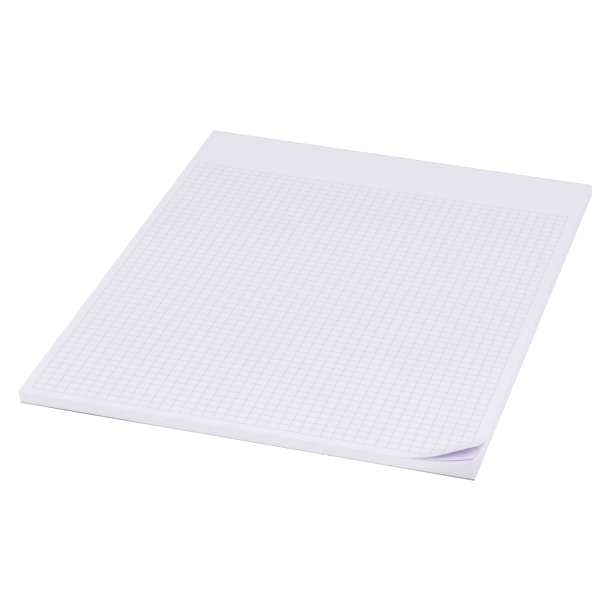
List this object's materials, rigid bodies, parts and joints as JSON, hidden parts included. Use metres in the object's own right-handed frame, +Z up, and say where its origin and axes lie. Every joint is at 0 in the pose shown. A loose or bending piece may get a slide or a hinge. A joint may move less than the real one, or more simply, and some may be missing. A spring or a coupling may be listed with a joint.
{
  "type": "writing pad",
  "caption": "A4 pad of squared paper glued at the head on a grey back board, with a blank heading band and a corner of the top sheets curled up.",
  "frame": {"origin": "middle of the footprint, on the underside of the back board", "axes": "+Z up through the sheets, +Y from the foot edge to the glued head edge, +X across the page to the right"},
  "size_m": [0.2108, 0.2974, 0.0157],
  "materials": {
    "paper": "uncoated white writing paper, printed with a pale 5 mm square ruling",
    "grey_board": "uncoated grey board, faintly flecked",
    "padding_glue": "dried white padding glue, brushed thin"
  },
  "bodies": {
    "root": {"page_block": "paper", "back_board": "grey_board", "head_glue": "padding_glue"}
  },
  "joints": []
}
